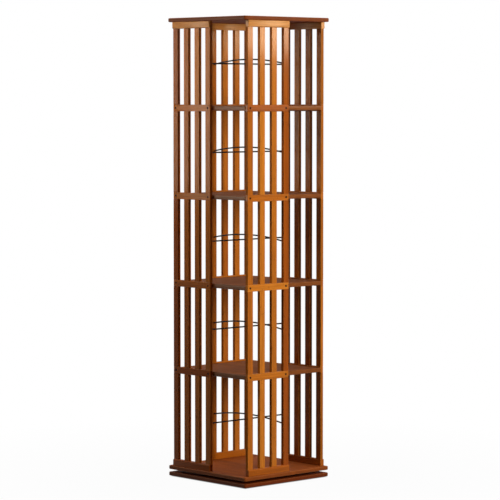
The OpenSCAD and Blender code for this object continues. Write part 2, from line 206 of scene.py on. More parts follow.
def flat_faces(points):
    """1 for the points in the lowest and the highest plane of a board, and 0 for those between."""
    low, high = points[:, 2].min(), points[:, 2].max()
    return (np.minimum(points[:, 2] - low, high - points[:, 2]) < IN_PLANE).astype(float)


def narrow_sides(points, reach):
    """1 on the two sides that close a stick's width along local x, falling to 0 over the rounding."""
    across = abs(points[:, 0])
    return np.clip(1 - (across.max() - across) / reach, 0, 1)


def solid(points, faces, order, wear_and_highlight, dull):
    """A solid in its own space, whose grain is its points in the given order of axes, from zero up."""
    grain = points[:, order] - points[:, order].min(axis=0)
    run = np.eye(3)[order[2]] + SKEW
    return {"points": points, "faces": faces, "grain": grain, "run": run, "wear_and_highlight": wear_and_highlight, "dull": dull}


print("lean of the grain in degrees:", np.degrees(SKEW).round(2).tolist())

# %% [markdown]
# Node helper and colours
# Every finish below is a small node tree. One function adds a node, sets its properties and fills its
# sockets, either with a value or with a link. A socket goes by its name, or by its number where names
# repeat: a Mix node's two colours are inputs 6 and 7, and its result is output 2. One function turns a
# hex colour, as a paint chart gives it, into the linear numbers that Blender mixes with.


# %% Nodes and colours
def put(tree, kind, sockets=None, **settings):
    """Adds one node: settings are properties, and sockets gives each input a value or an output."""
    node = tree.nodes.new(kind)
    for key, value in settings.items():
        setattr(node, key, value)
    for key, value in (sockets or {}).items():
        if isinstance(value, bpy.types.NodeSocket):
            tree.links.new(value, node.inputs[key])
        else:
            node.inputs[key].default_value = value
    return node


def linear(code):
    """sRGB hex to linear: c / 12.92 below 0.04045, and ((c + 0.055) / 1.055) ** 2.4 above."""
    c = np.array([int(code[i : i + 2], 16) for i in (1, 3, 5)]) / 255
    low, high = c / 12.92, ((c + 0.055) / 1.055) ** 2.4
    return (*np.where(c <= 0.04045, low, high).tolist(), 1.0)


def new_material(name):
    """Empty node material and its tree."""
    material = bpy.data.materials.new(name)
    material.use_nodes = True
    material.node_tree.nodes.clear()
    return material, material.node_tree


def finish_surface(tree, sockets):
    """Principled surface with the given sockets, joined to the output."""
    shader = put(tree, "ShaderNodeBsdfPrincipled", sockets)
    put(tree, "ShaderNodeOutputMaterial", {"Surface": shader.outputs[0]})


print("mid brown:", [round(v, 3) for v in linear("#A8652C")])

# %% [markdown]
# Bamboo strips
# Bamboo lumber is glued up from long strips split out of the stalk. A picture of it could be wrapped
# round each piece, but a pattern that is worked out from the grain attribute runs right through the
# wood and fits on every side. Dividing the grain by a strip's size numbers the strips, and each number
# draws a lot that shifts the pattern, so neighbours differ. Noise that is drawn out along the grain
# makes fibres, vessels and clouds of stain. Real fibres and vessels are about 0.3 mm wide, too fine for
# this picture, so they are drawn four or five times as wide. Strips keep their real size.

# %% Strips and noises along the grain
# width across the grain, length along it, and how many finer layers the noise has
FIBRES = (1.5 * MM, 70 * MM, 4.0)
VESSELS = (1.2 * MM, 14 * MM, 2.0)
CLOUDS = (30 * MM, 160 * MM, 2.0)
LOT_SHIFT = 7.0


def strip_lots(tree, grain, cut):
    """Place counted in strips, a random number for the strip, and the grain shifted by the strip's lot:
    the count is the grain over the cut's width and thickness, and its whole part numbers the strip."""
    per_metre = (1 / cut[0], 1 / cut[1], 0)
    counted = put(tree, "ShaderNodeVectorMath", {0: grain, 1: per_metre}, operation="MULTIPLY").outputs[0]
    number = put(tree, "ShaderNodeVectorMath", {0: counted}, operation="FLOOR").outputs[0]
    lot = put(tree, "ShaderNodeTexWhiteNoise", {"Vector": number}, noise_dimensions="3D").outputs
    shift = {0: lot["Color"], "Scale": LOT_SHIFT}
    shift = put(tree, "ShaderNodeVectorMath", shift, operation="SCALE").outputs[0]
    place = put(tree, "ShaderNodeVectorMath", {0: grain, 1: shift}, operation="ADD").outputs[0]
    return counted, lot["Value"], place


def noise_along(tree, place, size):
    """Noise at the place divided by the pattern's width, width and length."""
    across, along, detail = size
    scaled = {0: place, 1: (1 / across, 1 / across, 1 / along)}
    at = put(tree, "ShaderNodeVectorMath", scaled, operation="MULTIPLY").outputs[0]
    return put(tree, "ShaderNodeTexNoise", {"Vector": at, "Scale": 1.0, "Detail": detail}).outputs[0]


sizes = [[round(v / MM, 1) for v in size[:2]] for size in (FIBRES, VESSELS, CLOUDS)]
print("fibres, vessels and clouds in mm:", sizes)

# %% [markdown]
# Stain
# A brown stain soaks into bamboo unevenly. Fibres take it in two depths, every stick comes out redder
# or yellower than its neighbour, and strips and clouds are a little lighter or darker. A stain filters
# light, so the stick's own hue is a factor for red, green and blue and not a colour that is mixed in.

# %% Stain
RED_STAIN, YELLOW_STAIN = (0.6, 0.42, 0.3, 1), (1.08, 1.15, 1.2, 1)
FIBRE_LOW, FIBRE_HIGH = 0.3, 0.7
STRIP_LEVELS, CLOUD_LEVELS = (0.92, 1.07), (0.82, 1.18)


def stained(tree, light, dark, fibre, tone, levels):
    """Colour of the stain: a mix from dark to light by the fibre noise, times a mix from the red to the
    yellow factor by the tone, times a level between low and high for each given value."""
    share = {"Value": fibre, "From Min": FIBRE_LOW, "From Max": FIBRE_HIGH}
    share = put(tree, "ShaderNodeMapRange", share).outputs[0]
    body = {0: share, 6: linear(dark), 7: linear(light)}
    body = put(tree, "ShaderNodeMix", body, data_type="RGBA").outputs[2]
    hue = put(tree, "ShaderNodeMix", {0: tone, 6: RED_STAIN, 7: YELLOW_STAIN}, data_type="RGBA").outputs[2]
    colour = put(tree, "ShaderNodeVectorMath", {0: body, 1: hue}, operation="MULTIPLY").outputs[0]
    for value, (low, high) in levels:
        level = put(tree, "ShaderNodeMapRange", {"Value": value, "To Min": low, "To Max": high}).outputs[0]
        scaled = {0: colour, "Scale": level}
        colour = put(tree, "ShaderNodeVectorMath", scaled, operation="SCALE").outputs[0]
    return colour


print("strips vary by", STRIP_LEVELS, "and clouds by", CLOUD_LEVELS)

# %% [markdown]
# Marks in the wood
# Vessels that the planer cut open show as short dark dashes. Where the stalk had a joint, a strip carries
# a dark knuckle across it, and between strips lies a thin dark line of glue. Each mark is worked out as
# the share, from none to about a third, of a dark brown that goes over the stain.

# %% Dashes, knuckles and glue lines
DASH_LOW, DASH_HIGH, DASH_SHARE = 0.6, 0.72, 0.35
KNUCKLE_GAP, KNUCKLE_H, KNUCKLE_CORE, KNUCKLE_SHARE = 290 * MM, 2.4 * MM, 0.35, 0.3
GLUE_W, GLUE_SHARE = 0.7 * MM, 0.3


def dashes(tree, vessel):
    """Rises from none to DASH_SHARE over the peaks of the vessel noise."""
    peak = {"Value": vessel, "From Min": DASH_LOW, "From Max": DASH_HIGH, "To Max": DASH_SHARE}
    return put(tree, "ShaderNodeMapRange", peak).outputs[0]


def knuckles(tree, place):
    """One band in every length between joints: the fraction of the length over KNUCKLE_GAP, less a half,
    without its sign, is the distance from the band's middle, and the share falls over its edge."""
    along = put(tree, "ShaderNodeSeparateXYZ", {0: place}).outputs[2]
    count = put(tree, "ShaderNodeMath", {0: along, 1: 1 / KNUCKLE_GAP}, operation="MULTIPLY").outputs[0]
    step = put(tree, "ShaderNodeMath", {0: count}, operation="FRACT").outputs[0]
    from_mid = put(tree, "ShaderNodeMath", {0: step, 1: 0.5}, operation="SUBTRACT").outputs[0]
    off = put(tree, "ShaderNodeMath", {0: from_mid}, operation="ABSOLUTE").outputs[0]
    edge = KNUCKLE_H / KNUCKLE_GAP
    band = {"Value": off, "From Min": edge * KNUCKLE_CORE, "From Max": edge}
    return put(tree, "ShaderNodeMapRange", {**band, "To Min": KNUCKLE_SHARE, "To Max": 0.0}).outputs[0]


def glue_lines(tree, counted, strip):
    """Falls from GLUE_SHARE to none over GLUE_W at the start of every strip."""
    within = put(tree, "ShaderNodeVectorMath", {0: counted}, operation="FRACTION").outputs[0]
    across = put(tree, "ShaderNodeSeparateXYZ", {0: within}).outputs[0]
    line = {"Value": across, "From Max": GLUE_W / strip, "To Min": GLUE_SHARE, "To Max": 0.0}
    return put(tree, "ShaderNodeMapRange", line).outputs[0]


print("knuckles every", KNUCKLE_GAP / MM, "mm, glue lines of", GLUE_W / MM, "mm")

# %% [markdown]
# Satin lacquer
# A warm satin lacquer lies over the stain, and the fibres below draw its highlights out across the
# grain, as on silk. The shader's anisotropy does that, and the run attribute turns it along each stick.
# The dull attribute adds roughness where the surface was planed or rubbed down, and a bump of a few
# tenths of a millimetre lets the fibres stand and the cut vessels sink.

# %% Lacquer
LACQUER_TINT, LACQUER_LEVEL, SILK, DULLER = "#FFDFB0", 0.1, 0.02, 0.3
ACROSS_RUN = 0.25
VESSEL_SINK, RELIEF_SHARE, RELIEF_DEPTH = -0.6, 0.2, 0.3 * MM


def lacquer(tree, colour, fibre, dash, roughness, pull):
    """Roughness is the finish's own, less SILK on a fibre and more beside it, plus DULLER times dull."""
    dull = put(tree, "ShaderNodeAttribute", attribute_name="dull").outputs["Fac"]
    run = put(tree, "ShaderNodeAttribute", attribute_name="run").outputs["Vector"]
    to_world = {"vector_type": "VECTOR", "convert_from": "OBJECT", "convert_to": "WORLD"}
    tangent = put(tree, "ShaderNodeVectorTransform", {0: run}, **to_world).outputs[0]
    silky = {"Value": fibre, "To Min": roughness + SILK, "To Max": roughness - SILK}
    silky = put(tree, "ShaderNodeMapRange", silky).outputs[0]
    gloss = put(tree, "ShaderNodeMath", {0: dull, 1: DULLER, 2: silky}, operation="MULTIPLY_ADD").outputs[0]
    relief = put(tree, "ShaderNodeMath", {0: dash, 1: VESSEL_SINK, 2: fibre}, operation="MULTIPLY_ADD")
    bump = {"Strength": RELIEF_SHARE, "Distance": RELIEF_DEPTH, "Height": relief.outputs[0]}
    sockets = {
        "Base Color": colour,
        "Roughness": gloss,
        "Specular IOR Level": LACQUER_LEVEL,
        "Specular Tint": linear(LACQUER_TINT),
        "Anisotropic": pull,
        "Anisotropic Rotation": ACROSS_RUN,
        "Tangent": tangent,
        "Normal": put(tree, "ShaderNodeBump", bump).outputs[0],
    }
    finish_surface(tree, sockets)


print("lacquer is duller by", DULLER, "where it was rubbed down")

# %% [markdown]
# Six bamboo finishes
# The layers go on as in the workshop: strips are glued up and stained, the marks show through, the
# arrises get a paler brown, partly sanded stain and partly a painted highlight, and lacquer closes the
# surface. One function does that for every wooden piece, and a short table gives each kind its material
# slot, its size of strip, its four browns, the roughness of its lacquer and how far the fibres pull the
# gloss out.

# %% One bamboo finish
# the arrises' paler brown is partly wear and partly a painted highlight along the edges
ARRIS_LOW, ARRIS_SHARE = 0.25, 0.4


def stained_bamboo(name, cut, browns, roughness, pull):
    """Stain with the shares of dashes, knuckles, glue and the paler arrises, worn and painted as a
    highlight, mixed over it in that order.
    """
    material, tree = new_material(name)
    grain = put(tree, "ShaderNodeAttribute", attribute_name="grain").outputs["Vector"]
    tone = put(tree, "ShaderNodeAttribute", attribute_name="tone").outputs["Fac"]
    wear_and_highlight = put(tree, "ShaderNodeAttribute", attribute_name="wear_and_highlight").outputs["Fac"]
    light, dark, mark, worn_and_highlit = browns
    counted, lot, place = strip_lots(tree, grain, cut)
    fibre, vessel, cloud = [noise_along(tree, place, size) for size in (FIBRES, VESSELS, CLOUDS)]
    colour = stained(tree, light, dark, fibre, tone, ((lot, STRIP_LEVELS), (cloud, CLOUD_LEVELS)))
    dash = dashes(tree, vessel)
    worn_and_lit_edges = put(tree, "ShaderNodeMapRange", {"Value": wear_and_highlight, "From Min": ARRIS_LOW, "To Max": ARRIS_SHARE})
    over = [(share, mark) for share in (dash, knuckles(tree, place), glue_lines(tree, counted, cut[0]))]
    for share, brown in over + [(worn_and_lit_edges.outputs[0], worn_and_highlit)]:
        mix = {0: share, 6: colour, 7: linear(brown)}
        colour = put(tree, "ShaderNodeMix", mix, data_type="RGBA").outputs[2]
    lacquer(tree, colour, fibre, dash, roughness, pull)
    return material


print("sanded arrises take up to", ARRIS_SHARE, "of the paler brown")

# %% Six bamboo finishes
# width and thickness of a strip
STICKS, BOARDS = (7.4 * MM, 7.0 * MM), (20 * MM, 5 * MM)
# light and dark stain, the brown of marks, and the paler brown of the arrises: wear and a painted highlight
BROWN = ("#CB7724", "#A95C17", "#5A2E0C", "#D99A50")
# the top rails' paler, greyer brown is a painted highlight and sheen
HIGHLIT_PALE_BROWN = ("#CF8A48", "#AE6C32", "#6A3A16", "#D99A50")
DARK_BROWN = ("#8E461A", "#6E320E", "#3C1E0A", "#A8683A")
# the shelves' darker brown is painted shade for the dim inside of the tiers
SHADED_SHELF_BROWN = ("#98592C", "#75421C", "#44230C", "#B07848")
FINISHES = {
    # planed slats: the silkiest, with highlights like long bands across the grain
    "slat": ("slat_wood", STICKS, BROWN, 0.21, 0.9),
    # planed rails: the same brown, with shorter and softer highlights
    "rail": ("rail_wood", STICKS, BROWN, 0.25, 0.3),
    # bottom rails: the same brown, with the softest highlights
    "bottom_rail": ("rail_wood", STICKS, BROWN, 0.25, 0.2),
    # top rails: a paler and greyer brown, a painted highlight and sheen at the top of the case, that sets
    # off the dark board above
    "top_rail": ("rail_wood", STICKS, HIGHLIT_PALE_BROWN, 0.25, 0.2),
    # rubbed boards: a deep red brown with a broad, dull sheen
    "board": ("board_wood", BOARDS, DARK_BROWN, 0.42, 0.4),
    # shelves: a brown between the two, darker as painted shade for the dim inside of the tiers, with a
    # satin line along the front edge
    "shelf": ("shelf_wood", BOARDS, SHADED_SHELF_BROWN, 0.32, 0.9),
}
MADE = {}
for key, (slot, cut, browns, roughness, pull) in FINISHES.items():
    material = stained_bamboo(f"bamboo_{key}_satin_lacquer", cut, browns, roughness, pull)
    MADE[key] = (material, slot, cut)
print("finishes:", sorted(MADE))

# %% [markdown]
# Pieces from solids
# A piece is one or more sticks, each turned and put in its place. Copies of one mesh would all show the
# same grain, so every stick gets a shift of its own, as if it were cut from another place in the lumber,
# and its own depth of stain, in an attribute called tone. A seeded generator draws these lots, so every
# run gives the same case. The piece then stands for its CAD node and rides on the node's body.

# %% Pieces that stand for CAD nodes
SHARP = math.radians(35)


def plain_object(name, points, faces):
    """Bare mesh object."""
    mesh = bpy.data.meshes.new(name)
    mesh.from_pydata(points, [], faces)
    thing = bpy.data.objects.new(name, mesh)
    scene.collection.objects.link(thing)
    return thing


def smooth_piece(name, points, faces, material, node, slot):
    """Piece that is shaded smooth except at edges sharper than SHARP, in the place of a CAD node."""
    piece = plain_object(name, points, faces)
    piece.data.shade_smooth()
    piece.data.set_sharp_from_angle(angle=SHARP)
    piece.data.materials.append(material)
    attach(piece, nodes[node]["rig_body"])
    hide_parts(node)
    return piece


print("edges stay sharp above", round(math.degrees(SHARP)), "degrees")

# %% Wooden pieces
SEED, STRIPS_AWAY, METRES_AWAY, STAIN_SPREAD, EVEN_STAIN = 26, 400, 40, 0.08, 0.5
rng = np.random.default_rng(SEED)


def wood_marks(parts, cut, stain_and_light):
    """Attributes of placed solids: the grain plus a shift of whole strips and some metres, the turned
    run of the fibres, the arrises' wear and painted highlight, dullness, and a tone drawn near the given
    depth of stain, which on some pieces also holds painted shade and painted highlight."""
    rows = []
    for n, (part, matrix, _) in enumerate(parts):
        count = len(part["points"])
        strips = [side * rng.integers(0, STRIPS_AWAY) for side in cut]
        shift = strips + [rng.uniform(0, METRES_AWAY)]
        tone = np.clip(rng.normal(stain_and_light[n % len(stain_and_light)], STAIN_SPREAD), 0, 1)
        row = {"grain": part["grain"] + shift, "run": np.tile(matrix @ part["run"], (count, 1))}
        rows.append({**row, "wear_and_highlight": part["wear_and_highlight"], "dull": part["dull"], "tone": np.full(count, tone)})
    return {label: np.concatenate([row[label] for row in rows]) for label in rows[0]}


def build(name, parts, node, finish, stain_and_light=(EVEN_STAIN,)):
    """One wooden piece from several solids, whose points are turned by a matrix and moved to a place."""
    material, slot, cut = MADE[finish]
    placed = [(part["points"] @ matrix.T + place, part["faces"]) for part, matrix, place in parts]
    piece = smooth_piece(name, *joined(placed), material, node, slot)
    for label, values in wood_marks(parts, cut, stain_and_light).items():
        kind, field = ("FLOAT_VECTOR", "vector") if values.ndim == 2 else ("FLOAT", "value")
        made = piece.data.attributes.new(label, kind, "POINT")
        made.data.foreach_set(field, np.ascontiguousarray(values, np.float32).ravel())


print("lots shift the grain by up to", STRIPS_AWAY, "strips and", METRES_AWAY, "m")

# %% [markdown]
# Slats
# A slat is a square-edged stick with its long edges eased and a round tenon turned on both ends, which
# sits in a blind hole of the rail above or below. A box and two cylinders could be joined by a Boolean,
# but one stack of rings is simpler: it climbs from the circle of the foot tenon out to the rounded
# rectangle at the shoulder, and goes back in at the head.

# %% One slat
SLAT_W, SLAT_R, SHOULDER_EASE = 24 * MM, 0.9 * MM, 0.3 * MM
TENON_R, TENON_L, TENON_TIP, TENON_EASE = 3.5 * MM, 6 * MM, 0.85, 0.6 * MM


def slat(height):
    """Rings up the local z axis. The tenon's circle takes its points at the angles of the rectangle's
    points, so the flat shoulder between them is a plain ring of faces."""
    outline = rounded_rectangle(SLAT_W, SLAT_T, SLAT_R)
    angle = np.arctan2(outline[:, 1], outline[:, 0])
    tenon = TENON_R * np.stack([np.cos(angle), np.sin(angle)], axis=-1)
    foot = [
        (tenon * TENON_TIP, -TENON_L),
        (tenon, TENON_EASE - TENON_L),
        (tenon, 0.0),
        (drawn_in(outline, SHOULDER_EASE), 0.0),
        (outline, SHOULDER_EASE),
    ]
    head = [(ring, height - z) for ring, z in foot[::-1]]
    rings = [np.column_stack([ring, np.full(len(ring), z)]) for ring, z in foot + head]
    points, faces = skin(np.stack(rings))
    inside = np.array([SLAT_W, SLAT_T]) / 2 - abs(points[:, :2])
    # arris mask for the paler brown: wear and a painted highlight
    wear_and_highlight = np.clip(1 - inside / SLAT_R, 0, 1).min(axis=1)
    return solid(points, faces, STICK_GRAIN, wear_and_highlight, narrow_sides(points, SLAT_R))


print("faces of a slat:", len(slat(PANEL_W)["faces"]))

# %% [markdown]
# Slatted panels
# The front panel is laid out once and turned by quarter turns to the other three faces, which makes the
# pinwheel. Four slats share the width evenly. The maker never sorted them by colour, so every place
# across a panel has its own depth of stain, from 0 for the reddest to 1 for the yellowest. On the front
# face the depth rises from left to right, and the reddest, darkest slat at the left is painted shade.

# %% Slats of the four panels
FACES, TIERS, SLATS = ("front", "right", "back", "left"), (1, 2, 3, 4, 5), 4
SLAT_STAIN_AND_SHADE = {
    # the front row darkens its left slat: painted shade
    "front": (0.0, 0.5, 0.55, 0.55),
    "right": (0.45, 0.85, 0.75, 0.02),
    "back": (0.6, 0.4, 0.7, 0.5),
    "left": (0.3, 0.7, 0.5, 0.6),
}


def quarter_turns(k):
    """Matrix that turns the front panel's pieces to face k: rows (cos, -sin) and (sin, cos) of k times
    90 degrees, written as whole numbers so that no rounding creeps in."""
    c, s = (1, 0, -1, 0)[k], (0, 1, 0, -1)[k]
    return np.array([[c, -s, 0], [s, c, 0], [0, 0, 1.0]])


slat_x = -FACE_IN + SLAT_W / 2 + np.arange(SLATS) * (PANEL_W - SLAT_W) / (SLATS - 1)
for k, face in enumerate(FACES):
    turn = quarter_turns(k)
    for tier in TIERS:
        node = f"{face}_slats_{tier}"
        low, high = span(node)
        foot, height = low[2] + TENON_L, high[2] - low[2] - 2 * TENON_L
        stick = slat(height)
        places = [turn @ np.array([x, SLAT_T / 2 - FACE_OUT, foot]) for x in slat_x]
        sticks = [(stick, turn, place) for place in places]
        build(f"{face}_slat_sticks_{tier}", sticks, node, "slat", SLAT_STAIN_AND_SHADE[face])
print("slat pieces:", len(FACES) * len(TIERS))

# %% [markdown]
# Holes
# Screw heads sit in counterbores, so rails and boards need stepped holes. A drill bit is a lathe shape,
# a row of radii turned round its axis, and so is the cutter here. It starts a little outside the wood
# and goes on past the far side, so that no two faces lie in one plane.

# %% Cutters
BORE_R, SHANK_R, BORE_DEPTH, MOUTH = 3.75 * MM, 2.05 * MM, 3 * MM, 0.5 * MM
PAST = 2 * MM


def turned(radii, heights, sides=40):
    """Lathe shape: ring i is radius[i] times (cos a, sin a) at height[i], for a round the whole turn."""
    a = np.linspace(0, 2 * np.pi, sides, endpoint=False)
    r, z = np.asarray(radii, float)[:, None], np.asarray(heights, float)[:, None]
    return skin(np.stack([r * np.cos(a), r * np.sin(a), np.broadcast_to(z, (len(z), sides))], axis=-1))


def screw_cutter(through):
    """Stepped hole along local z: eased mouth at 0, counterbore below it, shank hole to the far side."""
    radii = [BORE_R + MOUTH + PAST, BORE_R + MOUTH, BORE_R, BORE_R, SHANK_R, SHANK_R]
    heights = [PAST, 0, -MOUTH, -BORE_DEPTH, -BORE_DEPTH, -through - PAST]
    return turned(radii[::-1], heights[::-1])


print("cutter points:", len(screw_cutter(SLAT_T)[0]), "counterbore radius:", BORE_R)

# %% [markdown]
# Drilling
# One exact Boolean takes all cutters out of a piece. It could stay on every piece as a modifier, but
# grain and wear are needed on the points that it makes, so it is worked out here and its mesh is read
# back as arrays. Each kind of piece is drilled once, and its points are then used for every copy.


# %% Drilling
def drill(points, faces, cutter, axes, places):
    """Takes a turned cutter out of a skin at several places, and hands back points and faces."""
    cut_points, cut_faces = cutter
    cutters = joined([(cut_points @ axes.T + place, cut_faces) for place in places])
    wood, tool = plain_object("wood", points, faces), plain_object("tool", *cutters)
    bore = wood.modifiers.new("bore", "BOOLEAN")
    bore.operation, bore.solver, bore.object = "DIFFERENCE", "EXACT", tool
    cut = bpy.data.meshes.new_from_object(wood.evaluated_get(bpy.context.evaluated_depsgraph_get()))
    co = np.empty(len(cut.vertices) * 3, np.float32)
    cut.vertices.foreach_get("co", co)
    result = co.reshape(-1, 3).astype(float), [list(p.vertices) for p in cut.polygons]
    for mesh in (wood.data, tool.data, cut):
        bpy.data.meshes.remove(mesh)
    return result


# turns a cutter's axis from local z to local y, out of a rail's face
Y_OUT = np.array([[1.0, 0, 0], [0, 0, 1.0], [0, -1.0, 0]])
print("a cutter in a rail points along", (Y_OUT @ np.array([0, 0, 1.0])).tolist())

# %% [markdown]
# Rails
# Six rails run unbroken across each panel and the slats stand between them. The four at the shelves are
# as thick as the slats and carry a sunk screw on the line of the first and the last slat. The top and
# bottom rails are thicker, stand proud of the slats, and have a well rounded edge beside them. Sanding
# leaves the small roundings a little larger than drawn. All are eased prisms: local x is up, local y
# points out of the case and local z runs along the rail.

# %% Three kinds of rail
RAIL_R, RAIL_SANDING, END_RAIL_R, RAIL_EASE = 1.5 * MM, 0.2 * MM, 4 * MM, 1.2 * MM
RAIL_EDGE_REACH = 1.6 * MM
small = RAIL_R + RAIL_SANDING


def rail(points, faces):
    """Rail solid with arrises that are worn and painted with a highlight, and dull upper and lower sides.
    """
    return solid(points, faces, STICK_GRAIN, arris(points, RAIL_EDGE_REACH), narrow_sides(points, RAIL_R))


points, faces = eased_prism(rounded_rectangle(RAIL_H, SLAT_T, small), PANEL_W, RAIL_EASE)
screws = [np.array([0, SLAT_T / 2, z]) for z in (SLAT_W / 2, PANEL_W - SLAT_W / 2)]
shelf_rail = rail(*drill(points, faces, screw_cutter(SLAT_T), Y_OUT, screws))
low_outline = rounded_rectangle(END_H, END_T, (END_RAIL_R, small, small, small))
high_outline = rounded_rectangle(END_H, END_T, (small, END_RAIL_R, small, small))
low_rail = rail(*eased_prism(low_outline, PANEL_W, RAIL_EASE))
high_rail = rail(*eased_prism(high_outline, PANEL_W, RAIL_EASE))
print("faces of a drilled and a plain rail:", len(shelf_rail["faces"]), len(low_rail["faces"]))

# %% [markdown]
# Rails in their places
# Rails were stained one by one like the slats, and the four between the shelves come as they come. The
# bottom rails get the reddest, darkest stain, which is painted shade at the foot of the case, and the top
# rails the palest, which is painted highlight at its top.

# %% Rails of the four panels
SHELVES = (1, 2, 3, 4)
# depth of stain of each rail on the front, right, back and left face; the bottom row also holds painted
# shade and the top row painted highlight
RAIL_STAIN_AND_LIGHT = {
    "bottom_rail": (0.05, 0.2, 0.35, 0.3),
    "rail_1": (0.12, 0.55, 0.5, 0.4),
    "rail_2": (0.25, 0.95, 0.4, 0.6),
    "rail_3": (0.5, 0.65, 0.6, 0.3),
    "rail_4": (0.3, 0.05, 0.3, 0.5),
    "top_rail": (0.85, 0.95, 0.8, 0.85),
}
UP, OUT, RIGHTWARD = np.array([0, 0, 1.0]), np.array([0, -1.0, 0]), np.array([1.0, 0, 0])
RAIL_AXES = np.stack([UP, OUT, RIGHTWARD], axis=-1)
rail_kinds = [("bottom_rail", low_rail, "bottom_rail"), ("top_rail", high_rail, "top_rail")]
rail_kinds += [(f"rail_{i}", shelf_rail, "rail") for i in SHELVES]
for k, face in enumerate(FACES):
    turn = quarter_turns(k)
    for label, kind, finish in rail_kinds:
        low, high = span(f"front_{label}")
        place = turn @ np.array([low[0], (low[1] + high[1]) / 2, (low[2] + high[2]) / 2])
        stick = (kind, turn @ RAIL_AXES, place)
        build(f"{face}_{label}_stick", [stick], f"{face}_{label}", finish, (RAIL_STAIN_AND_LIGHT[label][k],))
print("rail pieces:", len(FACES) * len(rail_kinds))

# %% [markdown]
# Boards
# Top, bottom and base are square boards with soft edges. The same prism makes them: a square outline
# with small round corners, carried up through the thickness, with both faces rounded over.

# %% One board
BOARD_EDGE, BOARD_CORNER = 3.5 * MM, 6 * MM


def thickness(node):
    """Height of a node's box."""
    low, high = span(node)
    return high[2] - low[2]


def board(node, cutter, axes, centres, at_top):
    """Drilled board and its place: the prism stands on the lower face of its CAD node."""
    low, high = span(node)
    size = high - low
    outline = rounded_rectangle(size[0], size[1], BOARD_CORNER)
    points, faces = eased_prism(outline, size[2], BOARD_EDGE)
    rise = np.array([0, 0, size[2] if at_top else 0.0])
    points, faces = drill(points, faces, cutter, axes, centres + rise)
    # arris mask for the paler brown: wear and a painted highlight
    wear_and_highlight, dull = arris(points, BOARD_EDGE), flat_faces(points)
    return solid(points, faces, BOARD_GRAIN, wear_and_highlight, dull), low[2] * UP


print("board thickness:", [round(thickness(f"{name}_board"), 4) for name in ("top", "bottom", "base")])

# %% [markdown]
# Drilled boards
# The top is drilled from above and the turning bottom from below, where a screw goes into the end rail
# between the outer pairs of slats. The base has one hole, through which the screws of the inner bearing
# ring are reached as the ring turns past it.

# %% Top, bottom and base
ACCESS_R, SCREW_HEAD_R = 6 * MM, 3.25 * MM
STANDING, UPSIDE_DOWN = np.eye(3), np.diag([1.0, -1.0, -1.0])
BOARD_STAIN = {"top_board": 0.25, "bottom_board": 0.95, "base_board": 0.08}
rail_middle = FACE_IN + END_T / 2
gap_x = (slat_x[:-1] + slat_x[1:]) / 2
pairs = [(k, x) for k in range(len(FACES)) for x in (gap_x[0], gap_x[-1])]
board_holes = np.array([quarter_turns(k) @ np.array([x, -rail_middle, 0]) for k, x in pairs])
access = turned([ACCESS_R, ACCESS_R], [-PAST - thickness("base_board"), PAST])
access_hole = np.array([[span("inner_ring_screws")[1][0] - SCREW_HEAD_R, 0, 0]])
for node, cutter, axes, centres, at_top in (
    ("top_board", screw_cutter(thickness("top_board")), STANDING, board_holes, True),
    ("bottom_board", screw_cutter(thickness("bottom_board")), UPSIDE_DOWN, board_holes, False),
    ("base_board", access, STANDING, access_hole, True),
):
    kind, place = board(node, cutter, axes, centres, at_top)
    build(f"{node}_panel", [(kind, STANDING, place)], node, "board", (BOARD_STAIN[node],))
    print(node, "points:", len(kind["points"]))

# %% [markdown]
# Shelves
# A shelf is a plain square board, and the four panels are screwed flat against its edges, so a rail and
# a bare stretch of shelf edge take turns round it. The prism that made the boards makes shelves too, with
# nearly sharp corners and a smaller rounding. The grain runs from left to right on the front face, so the
# right face shows the strips' ends.

# %% Square shelves
SHELF_EDGE, SHELF_CORNER, SHELF_EDGE_SHARE = 2.2 * MM, 0.8 * MM, 0.6

for i in SHELVES:
    node = f"shelf_{i}"
    low, high = span(node)
    size = high - low
    outline = rounded_rectangle(size[0], size[1], SHELF_EDGE + SHELF_CORNER)
    points, faces = eased_prism(outline, size[2], SHELF_EDGE)
    # shelves take less of the paler arris brown, which is wear and a painted highlight
    wear_and_highlight = SHELF_EDGE_SHARE * arris(points, SHELF_EDGE)
    kind = solid(points, faces, BOARD_GRAIN, wear_and_highlight, flat_faces(points))
    build(f"{node}_panel", [(kind, STANDING, low[2] * UP)], node, "shelf")
print("shelves:", len(SHELVES), "side:", round(size[0], 4))

# %% [markdown]
# Hardware
# The bearing, its screws, the case screws and the floor pads keep their CAD shapes, which are exact, and
# get finishes of their own. One function makes them all: two tones mixed by a fine noise, which also moves
# the roughness and the bump. On turned rings the noise is read at the point's distance from the axis and
# its height, so that it draws fine circles, as a lathe tool does.

# %% One hardware finish
GRIT_DETAIL, GLOSS_SWING, GRIT_DEPTH = 3.0, 0.08, 0.1 * MM


